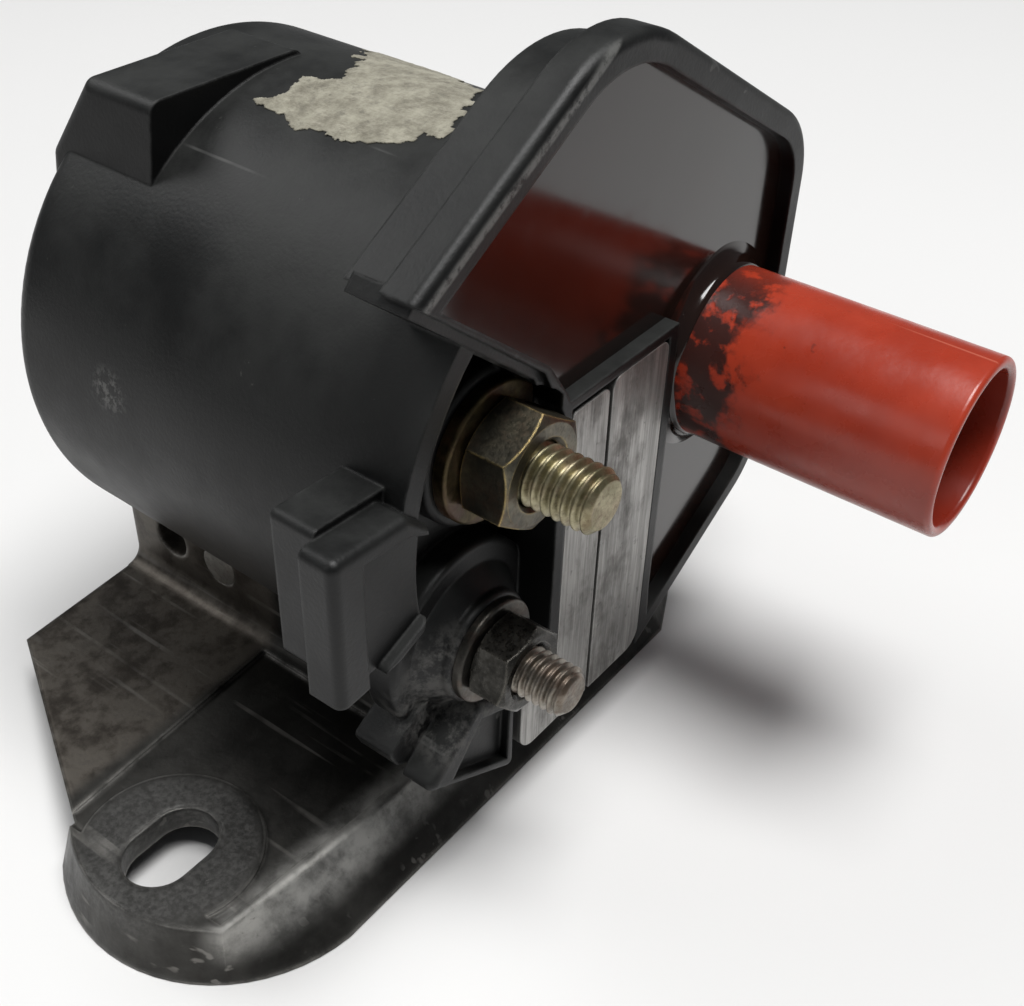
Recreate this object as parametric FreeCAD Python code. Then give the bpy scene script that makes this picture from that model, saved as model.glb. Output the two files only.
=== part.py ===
import FreeCAD, Part
import math
import os

V = FreeCAD.Vector

# Ignition coil with a laminated core, moulded housing, potted cap and pressed foot.
# Millimetres. X to the right facing the terminals, Y to the back, Z up.
# Origin: midway between the two foot slots, on the plane the foot rests on.

# ---- housing ----
AXIS_Z = 40.5            # winding axis above the resting plane
BARREL_R = 26.7
BARREL_BACK = 29.8
BARREL_LIP = -18.6       # front edge of the round body
BACK_ROUND = 2.0         # rounding of the barrel's back edge
BACK_RISE = 0.3          # the back end sits a little higher than the front
CAP_FRONT = -19.9
TIER_Y = -16.4           # step between the two tiers of the cap
CAP_BACK = -12.0
TIER1_AP = 34.6          # half width across flats, front tier
TIER2_AP = 33.3          # half width across flats, rear tier
TIER1_APEX_R, TIER2_APEX_R = 14.5, 17.0
CAVITY_AP = 32.0         # inside of the cap
CAVITY_FLOOR = -14.5
CAP_CUT_Z = 7.4          # the cap is cut level here, under the core
CHAMBER_R = 23.0
CHAMBER_FRONT = -9.9
CHAMBER_BACK = 24.5
RESIN_FRONT = -18.3
POCKET_R = 24.6
POCKET_FLOOR = -13.0
WALL_T = 1.4

# ---- core ----
CORE_HALF_W = 10.6
YOKE_T = 10.0
LIMB_Z0, LIMB_Z1 = 8.0, 16.0
CENTRE_HALF_H = 6.0
YOKE_TOP = AXIS_Z + CENTRE_HALF_H
SPLIT_X0, SPLIT_X1 = 0.8, 1.4      # groove between the two front stacks
YOKE_LEFT_X = -5.0
REAR_YOKE_Y = 25.2
SHIM_T = 0.6
CORE_GAP = 0.1

# ---- windings ----
BOBBIN_Y0, BOBBIN_Y1 = -8.5, 24.3
SLEEVE_T = 0.8
PRIMARY_R0, PRIMARY_R1, PRIMARY_FLANGE_R = 14.6, 16.6, 17.2
SECONDARY_R0, SECONDARY_R1 = 17.4, 18.6
WIRE_R1, FIN_R, FINS, FIN_T = 21.8, 22.4, 9, 1.2

# ---- high-tension outlet ----
TOWER_X, TOWER_Z = 21.5, 40.6
TOWER_R, TOWER_BORE_R = 9.0, 7.8
TOWER_TIP, TOWER_BASE = -46.9, CAVITY_FLOOR
TOWER_FLOOR = -22.0
CONTACT_R, CONTACT_HEAD_R, CONTACT_SEAT, CONTACT_END = 1.2, 3.0, -20.4, -12.0

# ---- studs: x, z, thread radius, pitch, across flats, nut height, washer radius, washer, seat ----
STUD_TIP = -28.4
M6 = dict(x=-12.0, z=45.0, r=3.0, pitch=1.0, af=10.0, nut=5.0, turn=26.0,
          washer_r=6.8, washer_t=1.3, seat=-15.6, boss_r=7.6, head_af=10.0)
M5 = dict(x=-14.7, z=25.2, r=2.5, pitch=0.8, af=8.0, nut=4.0, turn=14.0,
          washer_r=5.3, washer_t=0.9, seat=-18.7, boss_r=5.7, head_af=8.0)
BOSS_SKIRT_R, BOSS_SKIRT_Y, BOSS_LEDGE_R = 7.6, -15.8, 9.8
HEAD_Y0, HEAD_Y1 = -12.6, -10.2
SEAT_GAP = 0.03          # seating gap between washer, nut and boss
NUT_CLEAR = 0.05
WASHER_CLEAR = 0.08
WASHER_FLAT_X = -6.95    # flat side of the upper washer, beside the core frame
NUT_ROOM_R = 6.15

# ---- foot ----
SLOT_X = 39.5            # slot centres either side of the origin
SLOT_HALF_W = 3.5
SLOT_LENGTH = 10.0
SHEET = 2.4
FOOT_TOP = 6.0
TROUGH = 0.5             # depth of the pressed trough
PAD_R = 9.0
EAR_X, EAR_R = -31.5, 17.3
EAR_TOP_R = 15.6
R_EAR_R, R_EAR_TOP_R = 10.6, 8.9
FRONT_Y, FRONT_TOP_Y = -17.2, -12.4
RIDGE_X1, RIDGE_END = -24.0, (-43.0, -10.9)   # straight top edge of the front skirt
REAR_Y = 35.4
WALL_X = 13.1            # outer face of the upright walls
WALL_TOP = 15.9
WALL_Y0 = -8.0
RIVET_R = 2.4
RIVET_YS = (-2.0, 20.9)
INDEX_Y = 28.7
RIVET_Z = 12.3


def cyl(x, z, r, y0, y1):
    return Part.makeCylinder(r, y1 - y0, V(x, y0, z), V(0, 1, 0))


def box(x0, x1, y0, y1, z0, z1):
    return Part.makeBox(x1 - x0, y1 - y0, z1 - z0, V(x0, y0, z0))


def prism_y(points, y0, y1):
    wire = Part.makePolygon([V(x, y0, z) for x, z in points] + [V(points[0][0], y0, points[0][1])])
    return Part.Face(wire).extrude(V(0, y1 - y0, 0))


def prism_z(points, z0, z1):
    wire = Part.makePolygon([V(x, y, z0) for x, y in points] + [V(points[0][0], points[0][1], z0)])
    return Part.Face(wire).extrude(V(0, 0, z1 - z0))


def hexagon(apothem):
    r = apothem / math.cos(math.radians(30))
    return [(r * math.sin(math.radians(60 * k)), AXIS_Z + r * math.cos(math.radians(60 * k)))
            for k in range(6)]


def hex_prism(apothem, y0, y1, round_r, apex_r):
    solid = prism_y(hexagon(apothem), y0, y1)
    along = [e for e in solid.Edges if abs(e.Vertexes[0].Y - e.Vertexes[1].Y) > 0.1]
    top = [e for e in along if e.BoundBox.ZMin > AXIS_Z + apothem]
    solid = solid.makeFillet(apex_r, top)
    sides = [e for e in solid.Edges if e.BoundBox.YLength > 0.1 and e.BoundBox.XLength < 0.01
             and e.BoundBox.ZLength < 0.01 and abs(e.BoundBox.XMin) > 1.001 * apothem * 0.999]
    sides = [e for e in sides if abs(math.hypot(e.BoundBox.XMin, e.BoundBox.ZMin - AXIS_Z)
                                     - apothem / math.cos(math.radians(30))) < 0.01]
    return solid.makeFillet(round_r, sides)


def rounded(solid, radius, pick):
    edges = [e for e in solid.Edges if pick(e)]
    if not edges:
        return solid
    try:
        result = solid.makeFillet(radius, edges)
        return result if result.isValid() and result.Solids else solid
    except Exception:
        return solid


def edge_at_y(y, tol=0.01):
    return lambda e: all(abs(v.Y - y) < tol for v in e.Vertexes)


def save(name, shape):
    merged = shape.copy().removeSplitter()
    if all(solid.isValid() for solid in merged.Solids):
        shape = merged
    for solid in shape.Solids:
        assert solid.isValid(), name
    part = shape.Solids[0] if len(shape.Solids) == 1 else Part.makeCompound(shape.Solids)
    part.exportStep("parts/" + name + ".step")
    print(name, len(shape.Solids), round(part.Volume, 1))


os.makedirs("parts", exist_ok=True)

# ---------------------------------------------------------------- core
front_y1 = CAP_FRONT + YOKE_T
left = box(YOKE_LEFT_X, SPLIT_X0, CAP_FRONT, front_y1, LIMB_Z0, YOKE_TOP)
left = left.fuse(box(-CORE_HALF_W, SPLIT_X0, CAP_FRONT, REAR_YOKE_Y, LIMB_Z0, LIMB_Z1))
left = rounded(left.removeSplitter(), 2.2, lambda e: abs(e.BoundBox.YLength) > 20
               and abs(e.BoundBox.XMin + CORE_HALF_W) < 0.01 and abs(e.BoundBox.ZMax - LIMB_Z0) < 0.01)
right = box(SPLIT_X1, CORE_HALF_W, CAP_FRONT, front_y1, LIMB_Z0, YOKE_TOP + 0.5)
right = right.fuse(box(SPLIT_X1, CORE_HALF_W, CAP_FRONT, REAR_YOKE_Y, LIMB_Z0, LIMB_Z1))
right = rounded(right.removeSplitter(), 2.2, lambda e: abs(e.BoundBox.YLength) > 20
                and abs(e.BoundBox.XMin - CORE_HALF_W) < 0.01 and abs(e.BoundBox.ZMax - LIMB_Z0) < 0.01)
left = rounded(left, 0.8, lambda e: abs(e.BoundBox.YLength - YOKE_T) < 0.01
               and abs(e.BoundBox.ZMin - YOKE_TOP) < 0.01 and e.BoundBox.XLength < 0.01)
right = rounded(right, 1.2, lambda e: abs(e.BoundBox.YLength - YOKE_T) < 0.01
                and abs(e.BoundBox.ZMin - YOKE_TOP - 0.5) < 0.01 and e.BoundBox.XLength < 0.01)
rivet_cut = Part.makeCompound([Part.makeCylinder(RIVET_R, 2 * CORE_HALF_W + 2, V(-CORE_HALF_W - 1, y, RIVET_Z),
                                                 V(1, 0, 0)) for y in RIVET_YS])
left, right = left.cut(rivet_cut), right.cut(rivet_cut)
save("core_front_left", left)
save("core_front_right", right)

rear = box(-CORE_HALF_W, CORE_HALF_W, REAR_YOKE_Y, REAR_YOKE_Y + YOKE_T, LIMB_Z0, YOKE_TOP)
rear = rounded(rear, 1.5, lambda e: abs(e.BoundBox.YLength - YOKE_T) < 0.01)
save("core_rear_yoke", rear)
centre = box(-CORE_HALF_W, CORE_HALF_W, front_y1 + SHIM_T, REAR_YOKE_Y,
             AXIS_Z - CENTRE_HALF_H, AXIS_Z + CENTRE_HALF_H)
save("core_centre_limb", centre)
shim = box(YOKE_LEFT_X, CORE_HALF_W, front_y1, front_y1 + SHIM_T,
           AXIS_Z - CENTRE_HALF_H, AXIS_Z + CENTRE_HALF_H)
save("air_gap_shim", shim)

# ---------------------------------------------------------------- windings
sx, sz = CORE_HALF_W + 0.1, CENTRE_HALF_H + 0.1
sleeve = box(-sx - SLEEVE_T, sx + SLEEVE_T, BOBBIN_Y0, BOBBIN_Y1, AXIS_Z - sz - SLEEVE_T, AXIS_Z + sz + SLEEVE_T)
sleeve = sleeve.cut(box(-sx, sx, BOBBIN_Y0 - 1, BOBBIN_Y1 + 1, AXIS_Z - sz, AXIS_Z + sz))
save("core_sleeve", sleeve)
bx, bz = sx + SLEEVE_T + 0.05, sz + SLEEVE_T + 0.05
bobbin_bore = box(-bx, bx, BOBBIN_Y0 - 1, BOBBIN_Y1 + 1, AXIS_Z - bz, AXIS_Z + bz)
primary_bobbin = cyl(0, AXIS_Z, PRIMARY_R0, BOBBIN_Y0, BOBBIN_Y1)
for y in (BOBBIN_Y0, BOBBIN_Y1 - FIN_T):
    primary_bobbin = primary_bobbin.fuse(cyl(0, AXIS_Z, PRIMARY_FLANGE_R, y, y + FIN_T))
primary_bobbin = primary_bobbin.cut(bobbin_bore)

LEAD_R = 0.45
m6_lead_x, m6_lead_z = -14.6, 46.0
m5_in, m5_out = (-10.9, 29.2), (-13.8, 26.2)
lead_start = cyl(m6_lead_x, m6_lead_z, LEAD_R, HEAD_Y1, BOBBIN_Y0 + FIN_T)
lead_y = -9.2
path = [V(m5_in[0], BOBBIN_Y0 + FIN_T, m5_in[1]), V(m5_in[0], lead_y, m5_in[1]),
        V(m5_out[0], lead_y, m5_out[1]), V(m5_out[0], HEAD_Y1, m5_out[1])]
lead_end = None
for a, b in zip(path, path[1:]):
    piece = Part.makeCylinder(LEAD_R, (b - a).Length, a, b - a)
    lead_end = piece if lead_end is None else lead_end.fuse(piece)
for p in path[1:3]:
    lead_end = lead_end.fuse(Part.makeSphere(LEAD_R, p))
primary_bobbin = primary_bobbin.cut(lead_start).cut(lead_end)
save("primary_bobbin", primary_bobbin)
save("primary_lead_start", lead_start)
save("primary_lead_end", lead_end)
primary = cyl(0, AXIS_Z, PRIMARY_R1, BOBBIN_Y0 + FIN_T, BOBBIN_Y1 - FIN_T)
save("primary_winding", primary.cut(cyl(0, AXIS_Z, PRIMARY_R0, BOBBIN_Y0, BOBBIN_Y1)))

secondary_bobbin = cyl(0, AXIS_Z, SECONDARY_R1, BOBBIN_Y0, BOBBIN_Y1)
pitch = (BOBBIN_Y1 - BOBBIN_Y0 - FIN_T) / (FINS - 1)
rings = []
for k in range(FINS):
    y = BOBBIN_Y0 + k * pitch
    secondary_bobbin = secondary_bobbin.fuse(cyl(0, AXIS_Z, FIN_R, y, y + FIN_T))
    if k < FINS - 1:
        ring = cyl(0, AXIS_Z, WIRE_R1, y + FIN_T, y + pitch)
        rings.append(ring.cut(cyl(0, AXIS_Z, SECONDARY_R1, y, y + 2 * pitch)))
secondary_bobbin = secondary_bobbin.cut(cyl(0, AXIS_Z, SECONDARY_R0, BOBBIN_Y0 - 1, BOBBIN_Y1 + 1))
ht_lead = cyl(TOWER_X - 0.4, TOWER_Z, 0.3, CONTACT_END, BOBBIN_Y0 + FIN_T)
secondary_bobbin = secondary_bobbin.cut(ht_lead)
save("secondary_bobbin", secondary_bobbin)
save("secondary_winding", Part.makeCompound(rings))
save("ht_lead", ht_lead)

# ---------------------------------------------------------------- high-tension outlet
tower = cyl(TOWER_X, TOWER_Z, TOWER_R, TOWER_TIP, TOWER_BASE)
tower = tower.cut(cyl(TOWER_X, TOWER_Z, TOWER_BORE_R, TOWER_TIP - 1, TOWER_FLOOR))
tower = rounded(tower, 0.55, edge_at_y(TOWER_TIP))
contact = cyl(TOWER_X, TOWER_Z, CONTACT_R, TOWER_FLOOR, CONTACT_END)
contact = contact.fuse(cyl(TOWER_X, TOWER_Z, CONTACT_HEAD_R, TOWER_FLOOR, CONTACT_SEAT))
tower = tower.cut(contact)
save("ht_tower", tower)
save("ht_contact", contact)


# ---------------------------------------------------------------- studs, nuts and washers
def hex_along_y(s, af, y0, y1, turn):
    r = af / math.sqrt(3)
    pts = [(s["x"] + r * math.cos(math.radians(turn + 60 * k)),
            s["z"] + r * math.sin(math.radians(turn + 60 * k))) for k in range(6)]
    return prism_y(pts, y0, y1)


def chamfer_cones(s, solid, af, y0, y1):
    r = af / math.sqrt(3)
    rise = (r - af / 2 * 0.96) * math.tan(math.radians(30))
    profile = [V(0, y0, 0), V(af / 2 * 0.96, y0, 0), V(r, y0 + rise, 0), V(r, y1 - rise, 0),
               V(af / 2 * 0.96, y1, 0), V(0, y1, 0), V(0, y0, 0)]
    body = Part.Face(Part.makePolygon(profile)).revolve(V(0, 0, 0), V(0, 1, 0), 360)
    body.translate(V(s["x"], 0, s["z"]))
    return solid.common(body)


def stud(s):
    depth = 0.6134 * s["pitch"]
    r, root, p = s["r"], s["r"] - depth, s["pitch"]
    flat = p / 8
    lead = 0.75
    profile = [V(0, STUD_TIP, 0), V(r - lead, STUD_TIP, 0)]
    y = STUD_TIP + lead
    profile.append(V(r, y, 0))
    turns = int((s["seat"] - 0.4 - y) / p)
    for _ in range(turns):
        profile += [V(r, y + flat, 0), V(root, y + p / 2, 0), V(root, y + p / 2 + flat, 0), V(r, y + p, 0)]
        y += p
    profile += [V(r, HEAD_Y0, 0), V(0, HEAD_Y0, 0), V(0, STUD_TIP, 0)]
    body = Part.Face(Part.makePolygon(profile)).revolve(V(0, 0, 0), V(0, 1, 0), 360)
    body.translate(V(s["x"], 0, s["z"]))
    return body.fuse(hex_along_y(s, s["head_af"], HEAD_Y0, HEAD_Y1, s["turn"]))


def nut(s):
    y1 = s["seat"] - s["washer_t"] - 2 * SEAT_GAP
    y0 = y1 - s["nut"]
    solid = chamfer_cones(s, hex_along_y(s, s["af"], y0, y1, s["turn"]), s["af"], y0, y1)
    solid = solid.cut(cyl(s["x"], s["z"], s["r"] + NUT_CLEAR, y0 - 1, y1 + 1))
    for y in (y0, y1):
        sign = 1 if y == y0 else -1
        cone = Part.makeCone(s["r"] + 0.5, s["r"] - 0.1, 0.6, V(s["x"], y, s["z"]), V(0, sign, 0))
        solid = solid.cut(cone)
    return solid


def washer(s):
    y1 = s["seat"] - SEAT_GAP
    y0 = y1 - s["washer_t"]
    solid = cyl(s["x"], s["z"], s["washer_r"], y0, y1)
    solid = rounded(solid, 0.35, edge_at_y(y0))
    solid = solid.cut(box(WASHER_FLAT_X, 20, y0 - 1, y1 + 1, 0, 80))
    return solid.cut(cyl(s["x"], s["z"], s["r"] + WASHER_CLEAR, y0 - 1, y1 + 1))


for label, s in (("m6", M6), ("m5", M5)):
    save("stud_" + label, stud(s))
    save("nut_" + label, nut(s))
    save("washer_" + label, washer(s))

# ---------------------------------------------------------------- housing
open_corner = [(-60.0, 91.0), (-24.9, 65.6), (-9.4, 52.9), (-7.0, 48.2), (-6.6, 48.0), (-6.6, -5.0), (-60.0, -5.0)]
opening = prism_y(open_corner, CAP_FRONT - 5, CAP_BACK + 0.01)
tiers = hex_prism(TIER1_AP, CAP_FRONT, TIER_Y, 9.5, TIER1_APEX_R)
tiers = rounded(tiers, 1.0, edge_at_y(CAP_FRONT))
tiers = tiers.fuse(hex_prism(TIER2_AP, TIER_Y, CAP_BACK, 9.0, TIER2_APEX_R))
cap = tiers.cut(opening)
cap = cap.cut(box(-60, 60, CAP_FRONT - 5, CAP_BACK + 5, -10, CAP_CUT_Z))

left_front = [(-40, 49.1), (-26.4, 48.2), (-23.0, 45.0), (-24.3, 35.0), (-32.4, 31.9), (-40, 31.9)]
left_rear = [(-40, 49.6), (-20.0, 48.6), (-20.0, 35.4), (-40, 33.9)]
low_front = [(-25.0, 14.6), (-23.6, 12.0), (-23.6, -3), (-11.4, -3), (-11.4, 17.5), (-17.4, 20.4)]
low_rear = [(-26.0, 18.6), (-23.6, 13.2), (-23.6, -3), (-12.0, -3), (-12.0, 20.0), (-20.4, 22.0)]
lugs = []
for poly, rear_poly in ((left_front, left_rear), (low_front, low_rear)):
    front_block = prism_y(poly, CAP_FRONT, TIER_Y + 0.01).common(prism_y(hexagon(TIER1_AP + 0.3), CAP_FRONT, TIER_Y + 1))
    front_block = rounded(front_block, 0.9, lambda e: not edge_at_y(TIER_Y + 0.01)(e))
    rear_block = prism_y(rear_poly, TIER_Y, CAP_BACK).common(prism_y(hexagon(TIER2_AP), TIER_Y, CAP_BACK))
    rear_block = rounded(rear_block, 0.7, lambda e: abs(e.BoundBox.YLength) > 1)
    lugs.append(front_block.fuse(rear_block))

rise = V(0, BARREL_BACK - BARREL_LIP, BACK_RISE)
foot_point = V(0, BARREL_LIP, AXIS_Z) - rise * 0.1


def body_round(radius, y0, y1):
    tube = Part.makeCylinder(radius, rise.Length * 1.2, foot_point, rise)
    return tube.common(box(-40, 40, y0, y1, 0, 90))


barrel = body_round(BARREL_R, BARREL_LIP, BARREL_BACK)
barrel = rounded(barrel, BACK_ROUND, lambda e: e.BoundBox.YMin > BARREL_BACK - 0.01)
# raised box on the crown, overhanging the back end
BOX_TOP, BOX_LOW = 68.0, 55.0
profile = [(17.2, BOX_LOW), (17.2, BOX_TOP), (26.0, BOX_TOP), (31.3, 60.2), (31.3, 57.5), (BARREL_BACK - 0.5, BOX_LOW)]
wire = Part.makePolygon([V(-18.6, y, z) for y, z in profile] + [V(-18.6, profile[0][0], profile[0][1])])
shoulder = Part.Face(wire).extrude(V(23.0, 0, 0))
lean = prism_y([(-22.0, BOX_LOW), (-18.4, BOX_LOW), (-16.4, BOX_TOP + 1), (-22.0, BOX_TOP + 1)], 0, 40)
lean_right = prism_y([(9.0, BOX_LOW), (4.0, BOX_LOW), (1.2, BOX_TOP + 1), (9.0, BOX_TOP + 1)], 0, 40)
shoulder = shoulder.cut(lean).cut(lean_right)
shoulder = rounded(shoulder, 1.3, lambda e: e.BoundBox.YMax > 18 and e.BoundBox.ZMax > 60
                   and e.BoundBox.ZMin > 56 and e.BoundBox.YMin > 17)
housing = barrel.fuse(shoulder).fuse(cap).fuse(lugs[0]).fuse(lugs[1])

# terminal pocket inside the round body, open between the two lugs
pocket_poly = [(-60.0, 89.0), (-25.6, 64.7), (-10.0, 52.1), (-6.5, 46.6), (-6.5, 17.0), (-11.4, 17.0),
               (-11.4, 14.0), (-60.0, 14.0)]
pocket = prism_y(pocket_poly, CAP_FRONT - 1, POCKET_FLOOR).common(cyl(0, AXIS_Z, POCKET_R, -30, POCKET_FLOOR))
side_gate = prism_y([(-40, 33.5), (-20, 34.8), (-16, 24), (-20.5, 21.5), (-34, 22.5)], CAP_FRONT - 1, POCKET_FLOOR)
housing = housing.cut(pocket).cut(side_gate)

# bosses under the washers
for s in (M6, M5):
    boss = cyl(s["x"], s["z"], s["boss_r"], s["seat"], POCKET_FLOOR + 0.5)
    boss = rounded(boss, 0.5, edge_at_y(s["seat"]))
    if s is M5:
        skirt = Part.makeCone(BOSS_SKIRT_R, s["boss_r"], BOSS_SKIRT_Y - s["seat"] - 1.0,
                              V(s["x"], BOSS_SKIRT_Y, s["z"]), V(0, -1, 0))
        ledge = cyl(s["x"], s["z"], BOSS_LEDGE_R, BOSS_SKIRT_Y, POCKET_FLOOR + 0.5)
        boss = boss.fuse(skirt).fuse(rounded(ledge, 0.6, edge_at_y(BOSS_SKIRT_Y)))
    boss = boss.cut(box(YOKE_LEFT_X - 1.0, 20, -40, 0, 0, 80))
    housing = housing.fuse(boss)
rib = prism_y([(-24.3, 66.1), (-9.0, 53.4), (-6.6, 48.7), (-7.0, 48.0), (-7.7, 47.8), (-10.0, 52.3), (-25.4, 64.9)],
              CAP_FRONT + 0.7, POCKET_FLOOR - 0.2)
housing = housing.fuse(rib)

# resin cavity, winding chamber and core windows
cavity = hex_prism(CAVITY_AP, CAP_FRONT - 1, CAVITY_FLOOR, 7.0, 11.5)
resin_side = [(-60, 95), (-24.9, 66.2), (-8.8, 53.3), (-6.0, 49.2), (-5.4, 48.0), (12.1, 48.0), (12.1, 15.4),
              (14.0, -10), (60, -10), (60, 95)]
cavity = cavity.common(prism_y(resin_side, CAP_FRONT - 1, CAVITY_FLOOR))
neck = cyl(0, AXIS_Z, CHAMBER_R, CAVITY_FLOOR - 1, CHAMBER_FRONT)
neck = neck.common(prism_y(resin_side, CAVITY_FLOOR - 1, CHAMBER_FRONT))
chamber = cyl(0, AXIS_Z, CHAMBER_R, CHAMBER_FRONT, CHAMBER_BACK)
hollow = cavity.fuse(neck).fuse(chamber)
g = CORE_GAP
windows = box(YOKE_LEFT_X - g, CORE_HALF_W + g, CAP_FRONT - 1, CHAMBER_FRONT, 0, YOKE_TOP + 0.5 + g)
windows = windows.fuse(box(-CORE_HALF_W - g, YOKE_LEFT_X, CAP_FRONT - 1, CHAMBER_FRONT, 0, LIMB_Z1 + g))
windows = windows.fuse(box(-CORE_HALF_W - g, CORE_HALF_W + g, CHAMBER_FRONT, BARREL_BACK + 1, 0, LIMB_Z1 + g))
windows = windows.fuse(box(-CORE_HALF_W - g, CORE_HALF_W + g, REAR_YOKE_Y - g, BARREL_BACK + 1, 0, YOKE_TOP + g))
windows = windows.fuse(box(-CORE_HALF_W - g, CORE_HALF_W + g, CHAMBER_BACK - 1, REAR_YOKE_Y,
                           AXIS_Z - CENTRE_HALF_H - g, AXIS_Z + CENTRE_HALF_H + g))
housing = housing.cut(hollow).cut(windows)
for s in (M6, M5):
    housing = housing.cut(cyl(s["x"], s["z"], s["r"], -40, HEAD_Y0 + 0.1))
    housing = housing.cut(hex_along_y(s, s["head_af"], HEAD_Y0, CHAMBER_FRONT + 0.1, s["turn"]))

# room for the upper nut to turn and its washer to lift beside the core frame
room = cyl(M6["x"], M6["z"], M6["washer_r"] + 0.2, CAP_FRONT - 1, M6["seat"])
room = room.cut(box(WASHER_FLAT_X + 0.3, 20, -40, 0, 0, 80))
room = room.fuse(cyl(M6["x"], M6["z"], NUT_ROOM_R, CAP_FRONT - 1, M6["seat"] - M6["washer_t"]))
housing = housing.cut(room)
slot = cyl(12.9, 18.3, 0.55, CAP_FRONT - 1, CAP_FRONT + 1.2).fuse(cyl(12.9, 20.0, 0.55, CAP_FRONT - 1, CAP_FRONT + 1.2))
slot = slot.fuse(box(12.35, 13.45, CAP_FRONT - 1, CAP_FRONT + 1.2, 18.3, 20.0))
housing = housing.cut(slot)

# recessed panels in the front faces of the lugs
panel_left = [(-31.6, 47.0), (-26.2, 46.3), (-20.0, 43.0), (-20.0, 37.5), (-24.6, 36.2), (-31.6, 33.4)]
panel_low = [(-21.2, 13.6), (-12.7, 9.0), (-12.5, 16.4), (-17.0, 18.4)]
for poly in (panel_left, panel_low):
    housing = housing.cut(prism_y(poly, CAP_FRONT - 1, CAP_FRONT + 1.1))
housing = Part.makeCompound([max(housing.Solids, key=lambda q: q.Volume)])
save("housing", housing)

# ---------------------------------------------------------------- resin
fill = cavity.cut(box(-60, 60, CAP_FRONT - 5, RESIN_FRONT, -10, 100)).fuse(neck).fuse(chamber)
inner = [centre, shim, sleeve, primary_bobbin, lead_start, lead_end, secondary_bobbin, ht_lead, tower, contact,
         cyl(0, AXIS_Z, PRIMARY_R1, BOBBIN_Y0 + FIN_T, BOBBIN_Y1 - FIN_T), left, right, windows] + rings
inner.append(cyl(0, AXIS_Z, SECONDARY_R0, BOBBIN_Y0, BOBBIN_Y1))
for piece in inner:
    fill = fill.cut(piece)
fill = fill.common(cavity.fuse(neck).fuse(chamber))
biggest = max(fill.Solids, key=lambda q: q.Volume)
save("potting_resin", Part.makeCompound([biggest]))


# ---------------------------------------------------------------- foot
def arc_pts(cx, cy, r, a0, a1, n):
    return [(cx + r * math.cos(math.radians(a0 + (a1 - a0) * k / n)),
             cy + r * math.sin(math.radians(a0 + (a1 - a0) * k / n))) for k in range(n + 1)]


def dish_outline(front_y, ear_r, right_r, rear_y, ridge=None):
    pts = [(21.5, front_y)] + arc_pts(EAR_X, 0, ear_r, -90, -218, 22)
    if ridge:
        for k in range(1, 10):
            u = (k - 1) / 8
            pts[k] = (RIDGE_X1 + (ridge[0] - RIDGE_X1) * u, front_y + (ridge[1] - front_y) * u)
    else:
        pts[1] = (EAR_X, front_y)
    pts += [(46.0, rear_y)]
    pts += arc_pts(SLOT_X, 0, right_r, 50, -108, 20)
    return pts


def loft(lower, upper, z0, z1):
    wires = []
    for pts, z in ((lower, z0), (upper, z1)):
        wires.append(Part.makePolygon([V(x, y, z) for x, y in pts] + [V(pts[0][0], pts[0][1], z)]))
    return Part.makeLoft(wires, True, True)


outer = loft(dish_outline(FRONT_Y, EAR_R, R_EAR_R, 9.0), dish_outline(FRONT_TOP_Y, EAR_TOP_R, R_EAR_TOP_R, 9.0, RIDGE_END),
             0.0, FOOT_TOP)
t = SHEET
inner_dish = loft(dish_outline(FRONT_Y + t, EAR_R - t, R_EAR_R - t, 12.0),
                  dish_outline(FRONT_TOP_Y + t * 0.6, EAR_TOP_R - t, R_EAR_TOP_R - t, 12.0,
                               (RIDGE_END[0] + t, RIDGE_END[1] + t)), -0.01, FOOT_TOP - t)
flange = prism_z([(-43.4, 9.4), (-30.6, 34.0), (-13.1, REAR_Y), (13.1, REAR_Y), (27.0, 34.0), (45.4, 6.0)],
                 FOOT_TOP - t, FOOT_TOP)
foot = outer.fuse(flange)
trough_pts = [(-42.6, -10.2), (-24.0, -11.5), (11.0, -11.6), (44.0, -6.6), (44.0, 6.6), (11.0, 12.8),
              (-11.0, 12.8), (-44.0, 10.5)]
trough = prism_z(trough_pts, FOOT_TOP - TROUGH, FOOT_TOP + 1)
pads = [Part.makeCylinder(PAD_R if x < 0 else 7.6, 20, V(x, 0, -5)) for x in (-SLOT_X, SLOT_X)]
for pad in pads:
    trough = trough.cut(pad)
foot = foot.cut(inner_dish)
floor_sheet = prism_z(trough_pts, FOOT_TOP - TROUGH - t, FOOT_TOP - t + 0.1).common(outer)
foot = foot.fuse(floor_sheet).cut(trough)

# central opening: its two sides are folded up as walls along the lower core limb
inner_x = WALL_X - t
foot = foot.cut(box(-WALL_X, WALL_X, WALL_Y0, REAR_Y + 5, -1, FOOT_TOP + 1))
bend = 2.0
for side in (-1, 1):
    x_out, x_in = side * WALL_X, side * inner_x
    wall = box(min(x_out, x_in), max(x_out, x_in), WALL_Y0, REAR_Y, FOOT_TOP - t, WALL_TOP)
    fold = box(min(x_out, x_out + side * bend), max(x_out, x_out + side * bend), WALL_Y0, REAR_Y,
               FOOT_TOP - t, FOOT_TOP + bend)
    fold = fold.cut(Part.makeCylinder(bend, 100, V(x_out + side * bend, WALL_Y0 - 10, FOOT_TOP + bend), V(0, 1, 0)))
    foot = foot.fuse(wall).fuse(fold)
for y in RIVET_YS + (INDEX_Y,):
    foot = foot.cut(Part.makeCylinder(RIVET_R, 60, V(-30, y, RIVET_Z), V(1, 0, 0)))
half = SLOT_LENGTH / 2 - SLOT_HALF_W
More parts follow.
